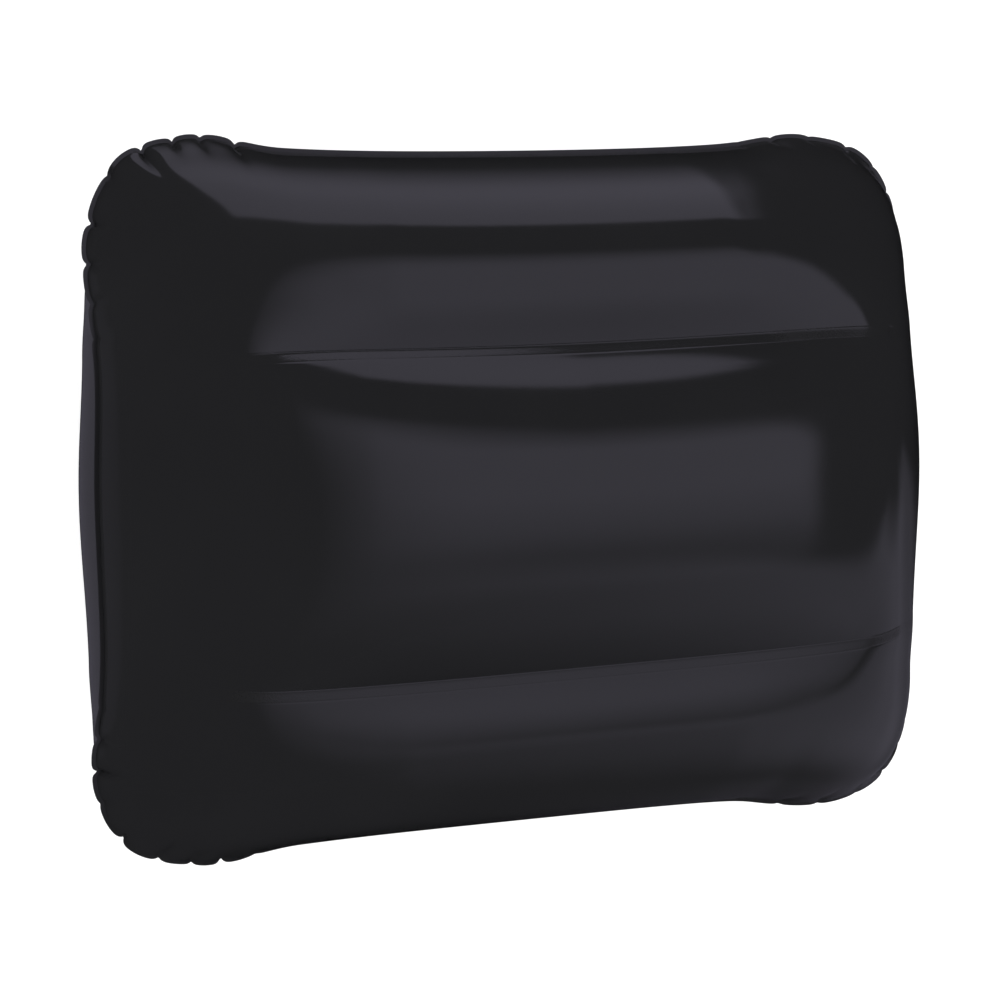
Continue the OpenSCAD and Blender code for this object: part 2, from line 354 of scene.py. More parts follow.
def settle(points):
    """Brings the blown-up form to the real pillow's outline and weld lines."""
    x, y, z = points[..., 0], points[..., 1], points[..., 2]
    u = x / END_X
    v = y / SIDE_Y
    off_seam = 1 - np.exp(-(z / BULGE_RISE) ** 2)
    mid_end = np.exp(-((y - BULGE_Y) / BULGE_REACH) ** 2)

    def end_shift(side, end):
        reach = np.maximum(0, side * u) ** 3
        pull = -end["come_in"] + end["slope"] * v + end["curve"] * v * v
        return side * reach * (pull + (end["round_bulge"] * off_seam + end["bulge"]) * mid_end)

    def side_shift(side, edge):
        reach = np.maximum(0, side * v) ** 3
        return side * reach * (-edge["come_in"] + edge["slope"] * u + edge["curve"] * u * u)

    def weld_shift(middle, weld):
        bow = np.maximum(0, 1 - (x / BOW_HALF) ** 2)
        near = np.exp(-((y - middle) / WELD_SPREAD) ** 2)
        return near * (weld["shift"] + weld["bow"] * bow + weld["slant"] * u)

    def corner_push(outward_u, corners):
        past_x = np.maximum(0, outward_u - CORNER_FROM)
        past_y = np.maximum(0, np.abs(v) - CORNER_FROM)
        past = CORNER_GROWTH * past_x * past_y
        return past[..., None] * np.where((v > 0)[..., None], corners["top"], corners["bottom"])

    left_corner = corner_push(-u, LEFT_CORNERS)
    right_corner = corner_push(u, RIGHT_CORNERS)
    dx = end_shift(1, RIGHT_END) + end_shift(-1, LEFT_END) - left_corner[..., 0] + right_corner[..., 0]
    dy = side_shift(1, TOP_SIDE) + side_shift(-1, BOTTOM_SIDE) + weld_shift(-WELD_Y, LOWER_WELD)
    dy = dy + weld_shift(WELD_Y, UPPER_WELD) + np.sign(v) * (left_corner + right_corner)[..., 1]
    from_end = np.arange(CELLS_X + 1) * FLAT_W / CELLS_X
    mid_seam = np.clip(1 - np.abs(v / FORWARD_END) ** FORWARD_SQUARE, 0, 1)
    forward = SEAM_FORWARD * np.exp(-(from_end / FORWARD_REACH) ** 2) * mid_seam
    placed = np.stack([x + dx, y + dy, z + forward], -1) * REAL_SIZE
    placed[..., 0] += CENTRE_X
    placed[..., 1] += CENTRE_Y
    return placed


# ---------------------------------------------------------------- fine grid

def spline_weights(count, places):
    """Weights that turn values at 0 .. count - 1 into a smooth curve's values at the places."""
    left = np.zeros((count, count))
    right = np.zeros((count, count))
    for i in range(1, count - 1):
        left[i, i - 1:i + 2] = (1, 4, 1)
        right[i, i - 1:i + 2] = (6, -12, 6)
    left[0, :2] = (1, -1)
    left[-1, -2:] = (-1, 1)
    second = np.linalg.solve(left, right)
    i = np.clip(places.astype(int), 0, count - 2)
    t = places - i
    rows = np.arange(len(places))
    weights = np.zeros((len(places), count))
    weights[rows, i] += 1 - t
    weights[rows, i + 1] += t
    weights += (((1 - t) ** 3 - (1 - t)) / 6)[:, None] * second[i]
    weights += ((t ** 3 - t) / 6)[:, None] * second[i + 1]
    return weights


def spaced(stops):
    """Places between the given stops: [(place, steps to the next one), ...], the last with 0 steps."""
    out = []
    for (a, steps), (b, _) in zip(stops, stops[1:]):
        out.extend(np.linspace(a, b, steps, endpoint=False))
    out.append(stops[-1][0])
    return np.array(out)


# The fine grid is finest within so many of the solver's cells from the ends and sides, with so many to one
END_ZONE = 13
SIDE_ZONE = 9
FINE = 7
# Steps of the fine grid between those zones: along the pillow, and across each lobe
ALONG_STEPS = 78
LOW_STEPS = 12
MID_STEPS = 45
HIGH_STEPS = 14
ZONE_STEPS = END_ZONE * FINE
COLUMNS = spaced([(0, ZONE_STEPS), (END_ZONE, ALONG_STEPS), (CELLS_X - END_ZONE, ZONE_STEPS), (CELLS_X, 0)])
# Distances from the valley of a weld of the rows across the welded strip and of those past it
STRIP_ROWS = np.array([0.13, 0.26, 0.4, 0.6, 1.2, 1.8, 2.4, 3.0, 3.2, 3.35, 3.5, 3.65, 3.85, 4.2, 5.0])
PAST_ROWS = np.array([0.12, 0.3, 0.7, 1.3])
ROW_H = FLAT_H / CELLS_Y * REAL_SIZE
# The even rows start and stop at these distances from a weld
STRIP_ROOM = 5.8 / ROW_H
PAST_ROOM = 2.0 / ROW_H


def lobe_rows(first, last, stops):
    """Rows of a lobe between two of the solver's rows, close together at the welds."""
    rows = [spaced(stops)]
    if first > 0:
        rows = [[first], first + PAST_ROWS / ROW_H] + rows
    if last < CELLS_Y:
        rows = rows + [last - STRIP_ROWS[::-1] / ROW_H, [last]]
    return np.concatenate(rows)


LOW_STOPS = [(0, SIDE_ZONE * FINE), (SIDE_ZONE, LOW_STEPS), (LOW_WELD - STRIP_ROOM, 0)]
MID_STOPS = [(LOW_WELD + PAST_ROOM, MID_STEPS), (HIGH_WELD - STRIP_ROOM, 0)]
HIGH_STOPS = [(HIGH_WELD + PAST_ROOM, HIGH_STEPS), (CELLS_Y - SIDE_ZONE, SIDE_ZONE * FINE), (CELLS_Y, 0)]
# Each lobe's first and last row in the solver's grid, and its rows in the fine one
LOBES = [(first, last, lobe_rows(first, last, stops)) for first, last, stops in (
    (0, LOW_WELD, LOW_STOPS), (LOW_WELD, HIGH_WELD, MID_STOPS), (HIGH_WELD, CELLS_Y, HIGH_STOPS))]

# Small ridge along each strip's upper edge and groove along its lower edge, how deep the strip lies, and
# the width over which its mark fades
RIDGE_AT = 0.26
RIDGE_R = 0.16
GROOVE_H = 0.045
GROOVE_R = 0.2
STRIP_SINK = 0.03
STRIP_EDGE = 0.3

# Each strip: where it ends, how far it takes to fade there, where its coarse grain starts, and its ridge
LOWER_STRIP = {"ends": (-134, 138), "fades": (8, 5), "grain": (-110, 118), "ridge": 0.08}
UPPER_STRIP = {"ends": (-124, 130), "fades": (12, 42), "grain": (-150, 76), "ridge": 0.2}
GRAIN_RUN = 10.0
FINE_GRAIN = 0.3

# Swell of the middle lobe along the upper weld, towards the -X end: its height, how it rises from the
# weld and falls again, and where it starts and ends
SWELL_H = 2.7
SWELL_RISE = 6.0
SWELL_FALL = 60.0
SWELL_FROM = 0.0
SWELL_RUN = 85.0
SWELL_END = -126.0
SWELL_END_RUN = 16.0

# Tack at the +X end of the upper weld: its place, radius and depth, how steep its side is, how welded it
# looks
TACK_X = 131.5
TACK_R = 2.6
TACK_SINK = 0.35
TACK_STEEP = 1.6
TACK_MARK = 0.8


def strip_length(x, strip):
    """How much of the strip there is at x, 0 to 1."""
    (left, right), (left_fade, right_fade) = strip["ends"], strip["fades"]
    return np.clip(np.minimum((x - left) / left_fade, (right - x) / right_fade), 0, 1)


def strip_grain(x, strip):
    """How coarse the strip's grain is at x: fine along its middle, coarse towards its ends."""
    left, right = strip["grain"]
    coarse = np.clip(np.maximum(left - x, x - right) / GRAIN_RUN, 0, 1)
    return FINE_GRAIN + (1 - FINE_GRAIN) * coarse


def strip_form(x, below, strip):
    """How far the strip lifts the sheet at each point, and how welded each point is, 0 to 1."""
    length = strip_length(x, strip)
    across_strip = np.clip((WELD_W - below) / STRIP_EDGE + 0.5, 0, 1) * (below >= 0)
    share = length * across_strip[:, None]
    ridge = strip["ridge"] * np.exp(-((below - RIDGE_AT) / RIDGE_R) ** 2)
    groove = GROOVE_H * np.exp(-((below - WELD_W) / GROOVE_R) ** 2)
    lift = length * (ridge - groove)[:, None] - STRIP_SINK * share
    return lift, share * strip_grain(x, strip)


def swell_and_tack(x, below):
    """The swell below the upper weld, and how much of its tack there is at each point, 0 to 1."""
    along = np.clip((SWELL_FROM - x) / SWELL_RUN, 0, 1) * np.clip((x - SWELL_END) / SWELL_END_RUN, 0, 1)
    near = np.clip(below, 0, None)[:, None]
    swell = SWELL_H * along * (1 - np.exp(-near / SWELL_RISE)) * np.exp(-(near / SWELL_FALL) ** 2)
    far = np.hypot(x - TACK_X, below[:, None] - WELD_W / 2)
    return swell, np.clip(TACK_STEEP * (1 - far / TACK_R), 0, 1)


def fine_sheet(sheet):
    """One sheet on the fine grid: points, their rows in the solver's grid, and how welded each is, 0 to
    1."""
    across = spline_weights(CELLS_X + 1, COLUMNS) @ np.swapaxes(sheet, 0, 1).reshape(CELLS_X + 1, -1)
    across = np.swapaxes(across.reshape(len(COLUMNS), CELLS_Y + 1, 3), 0, 1)
    up = np.sign(sheet[CELLS_Y // 2, CELLS_X // 2, 2])
    parts, row_places, marks = [], [], []
    for first, last, places in LOBES:
        lobe = across[first:last + 1]
        weights = spline_weights(last - first + 1, places - first)
        lobe = (weights @ lobe.reshape(len(lobe), -1)).reshape(len(places), len(COLUMNS), 3)
        x = lobe[..., 0]
        below = np.full(len(places), -1.0)
        if last < CELLS_Y:
            below = (last - places) * ROW_H
            lobe[..., 1] += WELD_W / 2 * np.exp(-below / WELD_REACH)[:, None]
        if first > 0:
            lobe[..., 1] += WELD_W / 2 * np.exp(-(places - first) * ROW_H / WELD_REACH)[:, None]
        lift, share = strip_form(x, below, UPPER_STRIP if last == HIGH_WELD else LOWER_STRIP)
        if last == HIGH_WELD:
            swell, tack = swell_and_tack(x, below)
            lift = lift + swell - TACK_SINK * tack
            share = np.maximum(share, TACK_MARK * tack)
        lobe = lobe + surface_normals(lobe, up) * lift[..., None]
        skip = 1 if first > 0 else 0
        parts.append(lobe[skip:])
        row_places.append(places[skip:])
        marks.append(share[skip:])
    return np.concatenate(parts), np.concatenate(row_places), np.concatenate(marks)


# ---------------------------------------------------------------- gathers at the corners

# Distance between gathers, how far in from the seam they reach, their depth, and how far past the
# corner's arc they go on
GATHER_STEP = 15.5
GATHER_REACH = 10.0
GATHER_DEPTH = 2.4
GATHER_RUN = 13.0
# How much each differs from the next: in its place, over this run, in its depth and in its reach
UNEVEN_STEP = 0.2
UNEVEN_RUN = 13.7
UNEVEN_DEPTH = 0.35
UNEVEN_REACH = 0.4
MEAN_REACH = 0.85
# How sharp a crease is well inside, how much sharper at the seam, and how far in that lasts
CREASE_POWER = 1.3
CREASE_SHARPER = 2.2
CREASE_RUN = 6.0
# Wave of the seam up and down, and the puff of the sheet between two creases
GATHER_WAVE = 0.2
WAVE_RUN = 5.0
GATHER_PUFF = 0.7
PUFF_AT = 4.0
PUFF_RUN = 6.0
# How strongly each corner is gathered: -X or +X, then -Y or +Y
CORNER_SHARES = ((0.9, 1.0), (0.35, 0.45))


def rim_places(columns, rows):
    """For each point of the fine grid: its distance in from the seam, its run along it from where the
    corner's arc starts, the arc's length, and its x and y in the flat cut."""
    x = (columns / CELLS_X - 0.5) * FLAT_W
    y = (rows / CELLS_Y - 0.5) * FLAT_H
    x, y = np.meshgrid(x, y)
    p = np.abs(x) - (FLAT_W / 2 - FLAT_R)
    q = np.abs(y) - (FLAT_H / 2 - FLAT_R)
    corner = (p > 0) & (q > 0)
    inward = FLAT_R - np.maximum(p, q)
    near_end = math.pi / 4 * q / np.maximum(p, 1e-6)
    near_side = math.pi / 2 - math.pi / 4 * p / np.maximum(q, 1e-6)
    turn = np.where(q > p, near_side, near_end)
    arc = FLAT_R * math.pi / 2
    run = np.where(corner, FLAT_R * np.clip(turn, 0, math.pi / 2), np.where(p > q, q, arc - p))
    return inward, run, arc, x, y


def gathers(columns, rows):
    """Depth of the gathers at each point, and the wave of the seam up and down."""
    inward, run, arc, x, y = rim_places(columns, rows)
    shares = np.array(CORNER_SHARES)[(x > 0).astype(int), (y > 0).astype(int)]
    outside = np.maximum(np.maximum(-run, run - arc), 0)
    here = np.exp(-(outside / GATHER_RUN) ** 2) * shares
    # the plain numbers below only set each corner and each gather off from the others
    corner = 1.7 * (x > 0) + 3.1 * (y > 0)
    phase = run / GATHER_STEP + UNEVEN_STEP * np.sin(run / UNEVEN_RUN + corner * 2.1) + corner
    number = np.round(phase)
    strength = 1 - UNEVEN_DEPTH + UNEVEN_DEPTH * np.sin(number * 2.4 + corner * 5)
    reach = GATHER_REACH * (MEAN_REACH + UNEVEN_REACH * np.sin(number * 1.7 + corner))
    fold = 1 - np.abs(np.sin(math.pi * phase))
    crease = fold ** (CREASE_POWER + CREASE_SHARPER * np.exp(-inward / CREASE_RUN))
    depth = GATHER_DEPTH * here * strength * crease * np.exp(-(inward / reach) ** 1.5)
    puff = GATHER_PUFF * here * (1 - fold) * np.exp(-((inward - PUFF_AT) / PUFF_RUN) ** 2)
    wave = GATHER_WAVE * here * np.sin(math.pi * phase) * np.exp(-inward / WAVE_RUN)
    return depth - puff, wave


# ---------------------------------------------------------------- valve seat

VALVE_LOW, VALVE_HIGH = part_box("valve_flange")
# Radius of the valve's disc, its rim's height over the valve's origin, and the radius of the hole in the
# sheet
DISC_R = 12.0
DISC_RIM = 0.2
HOLE_R = 11.2
# Height of the sheet along the valve's axis where it lies under the disc, how far past the disc it is
# flat, and how far from the axis it joins the pillow's form again
SEAT_DEPTH = -0.6
SEAT_FLAT = 1.5
SEAT_REACH = 34.0
# Points deeper than this along the axis are on the pillow's other side
FAR_SIDE = -40.0


def valve_axes():
    """Origin and axes of the valve, from the box of its flange: a disc of known radius tilted about Y."""
    slide = next(j for j in frame["joints"] if j["name"] == "stem_slide")
    out = np.array(slide["axis"], float)
    out /= np.linalg.norm(out)
    side = np.array([0.0, 1.0, 0.0])
    along = np.cross(side, out)
    corner = np.array([VALVE_HIGH[0], 0, VALVE_LOW[2]]) / MM
    # the box's +X side and its underside both touch the disc's outer rim
    x0 = corner[0] - DISC_R * abs(out[2]) - DISC_RIM * out[0]
    z0 = corner[2] + DISC_R * abs(out[0]) - DISC_RIM * out[2]
    return np.array([x0, 0, z0]), along, side, out


def seat_valve(points):
    """Lays the sheet flat under the valve's disc. Gives the points, each one's distance from the axis,
    and the valve's origin and axes."""
    origin, along, side, out = valve_axes()
    local = points - origin
    a, b, c = local @ along, local @ side, local @ out
    r = np.sqrt(a * a + b * b)
    near = (c > FAR_SIDE) & (r < SEAT_REACH)
    flat_r = DISC_R + SEAT_FLAT
    t = np.clip((r - flat_r) / (SEAT_REACH - flat_r), 0, 1)
    share = np.where(near, 1 - t * t * (3 - 2 * t), 0)
    c = c + share * (SEAT_DEPTH - c)
    points = origin + a[..., None] * along + b[..., None] * side + c[..., None] * out
    return points, np.where(near, r, 1e3), (origin, along, side, out)


# ---------------------------------------------------------------- meshes

# Passes that ease the directions out of the seam, and the angle past which an edge is drawn sharp
OUT_PASSES = 30
SHARP_ANGLE = 55
# Places of the flange's rings, out from the seam
FLANGE_STEPS = (0.3, 0.7, 1.1, FLANGE_W)
# How far the flange leans back along the -Y side
FLANGE_LEAN = 1.0
# Below this height in millimetres the sheet levels off just above the ground, this gently
GROUND_NEAR = 5.0
GROUND_ROUND = 0.3


def surface_normals(points, up):
    n = np.cross(np.gradient(points, axis=1), np.gradient(points, axis=0)) * up
    return n / np.maximum(np.linalg.norm(n, axis=-1, keepdims=True), 1e-9)


def out_of_ring(ring):
    """Directions out of a closed outline, in plan, eased along it."""
    eased = ring.copy()
    for _ in range(OUT_PASSES):
        eased = 0.25 * np.roll(eased, 1, 0) + 0.5 * eased + 0.25 * np.roll(eased, -1, 0)
    along = np.roll(eased, -1, 0) - np.roll(eased, 1, 0)
    out = np.stack([along[:, 1], -along[:, 0], np.zeros(len(along))], -1)
    return out / np.linalg.norm(out, axis=1, keepdims=True)


def sheet_surface(both, index):
    """The outer surface of one sheet on the fine grid, how welded each point is, and the rows and columns
    of the points along its edge. Both sheets get the same edge."""
    up = 1 if index == 0 else -1
    points, rows, weld = fine_sheet(both[index])
    other = fine_sheet(both[1 - index])[0]
    edge = np.array(ring_index(points.shape[:2]))
    ej, ei = edge[:, 0], edge[:, 1]
    points[ej, ei] = (points[ej, ei] + other[ej, ei]) / 2
    normal = surface_normals(points, up)
    normal[ej, ei] = out_of_ring(points[ej, ei])
    depth, wave = gathers(COLUMNS, rows)
    points = points - normal * depth[..., None]
    points[..., 2] += wave
    points[..., 2] += up * SHEET_T + SEAM_Z
    return points, weld, (ej, ei)


def rest_on_ground(points):
    """Levels the sheet off where it comes down to the ground."""
    z = points[..., 2]
    points[..., 2] = np.where(z < GROUND_NEAR, 0.5 * (z + np.sqrt(z * z + GROUND_ROUND ** 2)), z)


def open_hole(points, normal, radius, axes):
    """Moves the grid's points at the edge of the valve's hole onto its circle, in place. Gives the cut
    cells."""
    origin, along, side, axis = axes
    cut = hole_cells(radius)
    snapped = hole_edge(cut)
    local = points[snapped] - origin
    a, b, c = local @ along, local @ side, local @ axis
    scale = HOLE_R / np.sqrt(a * a + b * b)
    points[snapped] = (origin + (a * scale)[:, None] * along + (b * scale)[:, None] * side
                       + c[:, None] * axis)
    normal[snapped] = axis
    return cut


def band(first, second):
    """Quads between two closed rings of points."""
    return np.stack([first, second, np.roll(second, -1), np.roll(first, -1)], -1)


def mark_points(mesh, name, values):
    layer = mesh.attributes.new(name, "FLOAT", "POINT")
    layer.data.foreach_set("value", values)


def build_sheet(name, both, index, valve):
    """The mesh of one sheet: outer and inner surface, flange and, if wanted, the valve's hole."""
    up = 1 if index == 0 else -1
    points, weld, (ej, ei) = sheet_surface(both, index)
    if valve:
        points, radius, axes = seat_valve(points)
    rest_on_ground(points)
    normal = surface_normals(points, up)
    normal[ej, ei] = (0, 0, up)
    if valve:
        cut = open_hole(points, normal, radius, axes)
    inner = points - normal * SHEET_T
    count = points.shape[0] * points.shape[1]
    out = out_of_ring(points[ej, ei])
    out[:, 2] = -FLANGE_LEAN * np.clip(-out[:, 1], 0, 1) ** 2
    out /= np.linalg.norm(out, axis=1, keepdims=True)
    flange_out = [points[ej, ei] + out * step for step in FLANGE_STEPS]
    flange_in = [inner[ej, ei] + out * step for step in FLANGE_STEPS]
    vertices = np.concatenate([points.reshape(-1, 3), inner.reshape(-1, 3)] + flange_out + flange_in)

    grid = np.arange(count).reshape(points.shape[:2])
    a, b, c, d = grid[:-1, :-1], grid[:-1, 1:], grid[1:, 1:], grid[1:, :-1]
    quads = np.stack([a, b, c, d], -1).reshape(-1, 4)
    if valve:
        quads = quads[~cut.reshape(-1)]
    edge_ids = grid[ej, ei]
    rings = 2 * count + np.arange(2 * len(FLANGE_STEPS) * len(ej)).reshape(-1, len(ej))
    outer_rings = [edge_ids, *rings[:len(FLANGE_STEPS)]]
    inner_rings = [edge_ids + count, *rings[len(FLANGE_STEPS):]]
    faces = [quads, quads[:, ::-1] + count]
    for k in range(len(FLANGE_STEPS)):
        faces.append(band(outer_rings[k], outer_rings[k + 1]))
        faces.append(band(inner_rings[k], inner_rings[k + 1])[:, ::-1])
    faces.append(band(outer_rings[-1], inner_rings[-1]))
    if valve:
        faces.append(hole_wall(quads, count, edge_ids))
    faces = np.concatenate(faces)
    if up < 0:
        faces = faces[:, ::-1]

    mesh = bpy.data.meshes.new(name)
    mesh.from_pydata((vertices * MM).tolist(), [], faces.tolist())
    welded = np.zeros(len(vertices), np.float32)
    welded[:count] = weld.reshape(-1)
    mark_points(mesh, "weld", welded)
    rim = np.zeros(len(vertices), np.float32)
    rim[np.concatenate(outer_rings)] = 1
    mark_points(mesh, "rim", rim)
    mesh.polygons.foreach_set("use_smooth", np.ones(len(mesh.polygons), bool))
    mesh.set_sharp_from_angle(angle=math.radians(SHARP_ANGLE))
    mesh.update()
    used = np.unique(faces)
    if len(used) < len(vertices):
        drop_loose(mesh, set(used.tolist()))
    piece = bpy.data.objects.new(name, mesh)
    bpy.context.scene.collection.objects.link(piece)
    return piece


def hole_cells(radius):
    """The grid's cells that the valve's hole takes away, from the points' distances from the valve's
    axis."""
    middle = (radius[:-1, :-1] + radius[:-1, 1:] + radius[1:, 1:] + radius[1:, :-1]) / 4
    return middle <= HOLE_R


def hole_edge(cut):
    """Points that the hole's edge goes through: those on a kept cell and on a cut one."""
    on_cut = np.zeros((cut.shape[0] + 1, cut.shape[1] + 1), bool)
    on_kept = on_cut.copy()
    for dj in (0, 1):
        for di in (0, 1):
            rows = slice(dj, cut.shape[0] + dj)
            cols = slice(di, cut.shape[1] + di)
            on_cut[rows, cols] |= cut
            on_kept[rows, cols] |= ~cut
    return on_cut & on_kept


def hole_wall(quads, count, edge_ids):
    """Quads between the outer and inner surface round the valve's hole."""
    edges = {}
    for quad in quads.tolist():
        for k in range(4):
            edges[(quad[k], quad[(k + 1) % 4])] = True
    rim = set(edge_ids.tolist())
    wall = []
    for a, b in edges:
        if (b, a) not in edges and not (a in rim and b in rim):
            wall.append([b, a, a + count, b + count])
    return np.array(wall)


def drop_loose(mesh, used):
    """Removes the points that no face uses."""
    work = bmesh.new()
    work.from_mesh(mesh)
    work.verts.ensure_lookup_table()
    loose = [v for v in work.verts if v.index not in used]
    bmesh.ops.delete(work, geom=loose, context="VERTS")
    work.to_mesh(mesh)
    work.free()


# ---------------------------------------------------------------- materials

# The part of the noise's range that is spread over a material's own range
NOISE_SPAN = (0.3, 0.7)
# The two colours each material drifts between, and its roughness from and to
VINYL_COLOURS = ((0.0138, 0.0138, 0.0152), (0.0168, 0.0168, 0.0184))
BAFFLE_COLOURS = ((0.014, 0.014, 0.015), (0.022, 0.022, 0.024))
VALVE_COLOURS = ((0.022, 0.022, 0.024), (0.034, 0.034, 0.037))
FILM_ROUGH = (0.075, 0.115)
WELD_ROUGH = (0.26, 0.45)
BAFFLE_ROUGH = (0.2, 0.32)
VALVE_ROUGH = (0.26, 0.4)
# How much of the weld's roughness the rim of the sheet has
RIM_ROUGH = 0.35
VINYL_IOR = 1.5


def new_material(name):
    material = bpy.data.materials.new(name)
    material.use_nodes = True
    tree = material.node_tree
    return material, tree, tree.nodes["Principled BSDF"]


def add(tree, kind, **settings):
    node = tree.nodes.new(kind)
    for key, value in settings.items():
        setattr(node, key, value)
    return node


def noise(tree, place, scale, detail, roughness=0.5):
    node = add(tree, "ShaderNodeTexNoise")
    node.inputs["Scale"].default_value = scale
    node.inputs["Detail"].default_value = detail
    node.inputs["Roughness"].default_value = roughness
    tree.links.new(place, node.inputs["Vector"])
    return node.outputs["Fac"]


def remap(tree, value, low, high, to_low, to_high):
    node = add(tree, "ShaderNodeMapRange")
    node.inputs["From Min"].default_value = low
    node.inputs["From Max"].default_value = high
    node.inputs["To Min"].default_value = to_low
    node.inputs["To Max"].default_value = to_high
    tree.links.new(value, node.inputs["Value"])
    return node.outputs["Result"]


def maths(tree, operation, a, b):
    node = add(tree, "ShaderNodeMath", operation=operation)
    for socket, value in zip(node.inputs, (a, b)):
        if isinstance(value, (int, float)):
            socket.default_value = value
        else:
            tree.links.new(value, socket)
    return node.outputs[0]


def bump(tree, height, distance, strength, below=None):
    node = add(tree, "ShaderNodeBump")
    node.inputs["Distance"].default_value = distance
    node.inputs["Strength"].default_value = strength
    tree.links.new(height, node.inputs["Height"])
    if below is not None:
        tree.links.new(below, node.inputs["Normal"])
    return node.outputs["Normal"]


def blend_colour(tree, share, low, high):
    node = add(tree, "ShaderNodeMix", data_type="RGBA")
    tree.links.new(share, node.inputs["Factor"])
    node.inputs["A"].default_value = (*low, 1)
    node.inputs["B"].default_value = (*high, 1)
    return node.outputs["Result"]


def vinyl_material():
    """Glossy black vinyl film: a faint ripple, fine dust, and a grained matter band where it is welded."""
    material, tree, shader = new_material("glossy_vinyl")
    place = add(tree, "ShaderNodeTexCoord").outputs["Object"]
    weld = add(tree, "ShaderNodeAttribute", attribute_name="weld").outputs["Fac"]
    rim = add(tree, "ShaderNodeAttribute", attribute_name="rim").outputs["Fac"]
    cloud = noise(tree, place, 18, 3)
    grain = noise(tree, place, 1400, 2)
    film = noise(tree, place, 260, 2)
    colour = blend_colour(tree, cloud, *VINYL_COLOURS)
    tree.links.new(colour, shader.inputs["Base Color"])
    smooth = remap(tree, cloud, *NOISE_SPAN, *FILM_ROUGH)
    welded = remap(tree, grain, *NOISE_SPAN, *WELD_ROUGH)
    mix = add(tree, "ShaderNodeMix", data_type="FLOAT")
    pressed = maths(tree, "MAXIMUM", weld, maths(tree, "MULTIPLY", rim, RIM_ROUGH))
    tree.links.new(pressed, mix.inputs["Factor"])
    tree.links.new(smooth, mix.inputs["A"])
    tree.links.new(welded, mix.inputs["B"])
    tree.links.new(mix.outputs["Result"], shader.inputs["Roughness"])
    shader.inputs["IOR"].default_value = VINYL_IOR
    ripple = bump(tree, film, 0.00002, 0.35)
    knurl = maths(tree, "MULTIPLY", grain, weld)
    tree.links.new(bump(tree, knurl, 0.0002, 0.6, ripple), shader.inputs["Normal"])
    return material


def inner_material():
    """The baffles: the same film, not polished by the weld tools, seen only if the pillow is cut open."""
    material, tree, shader = new_material("baffle_vinyl")
    place = add(tree, "ShaderNodeTexCoord").outputs["Object"]
    cloud = noise(tree, place, 30, 4)
    tree.links.new(blend_colour(tree, cloud, *BAFFLE_COLOURS), shader.inputs["Base Color"])
    tree.links.new(remap(tree, cloud, *NOISE_SPAN, *BAFFLE_ROUGH), shader.inputs["Roughness"])
    tree.links.new(bump(tree, noise(tree, place, 400, 2), 0.00003, 0.4), shader.inputs["Normal"])
    return material


def valve_material():
    """Moulded soft vinyl of the valve: semi-gloss, with a fine moulded grain."""
    material, tree, shader = new_material("moulded_vinyl")
    place = add(tree, "ShaderNodeTexCoord").outputs["Object"]
    cloud = noise(tree, place, 120, 4)
    grain = noise(tree, place, 2600, 2)
    tree.links.new(blend_colour(tree, cloud, *VALVE_COLOURS), shader.inputs["Base Color"])
    tree.links.new(remap(tree, grain, *NOISE_SPAN, *VALVE_ROUGH), shader.inputs["Roughness"])
    tree.links.new(bump(tree, grain, 0.00004, 0.5), shader.inputs["Normal"])
    return material


# ---------------------------------------------------------------- stage

# Half of the floor's width in metres, and how much it glows, so that it comes out white
FLOOR_HALF = 8.0
FLOOR_GLOW = 0.8


def floor():
    half = FLOOR_HALF
    corners = [(-half, -half, 0), (half, -half, 0), (half, half, 0), (-half, half, 0)]
    mesh = bpy.data.meshes.new("floor")
    mesh.from_pydata(corners, [], [(0, 1, 2, 3)])
    piece = bpy.data.objects.new("floor", mesh)
    bpy.context.scene.collection.objects.link(piece)
    material = bpy.data.materials.new("pale_floor")
    material.use_nodes = True
    shader = material.node_tree.nodes["Principled BSDF"]
    shader.inputs["Base Color"].default_value = (0.5, 0.5, 0.5, 1)
    shader.inputs["Roughness"].default_value = 1.0
    shader.inputs["Specular IOR Level"].default_value = 0.0
    shader.inputs["Emission Color"].default_value = (1, 1, 1, 1)
    shader.inputs["Emission Strength"].default_value = FLOOR_GLOW
    mesh.materials.append(material)
    piece.visible_glossy = False
    return piece


def ramp(tree, value, start, width, falling):
    """0 to 1 over the width from the start, or 1 to 0 if falling."""
    node = add(tree, "ShaderNodeMapRange", interpolation_type="SMOOTHSTEP")
    node.inputs["From Min"].default_value = start
    node.inputs["From Max"].default_value = start + width
    node.inputs["To Min"].default_value = 1 if falling else 0
    node.inputs["To Max"].default_value = 0 if falling else 1
    tree.links.new(value, node.inputs["Value"])
    return node.outputs["Result"]


# Colour of the panels' light, the cells along each side of a panel, and the height in metres of the point
# that they curve round
LIGHT_TINT = (0.96, 0.91, 1.16, 1)
LIGHT_CELLS = 24
LIGHT_MIDDLE = 0.08
# How square a round panel is: 2 is an ellipse, and more is squarer
ROUNDNESS = 2.3


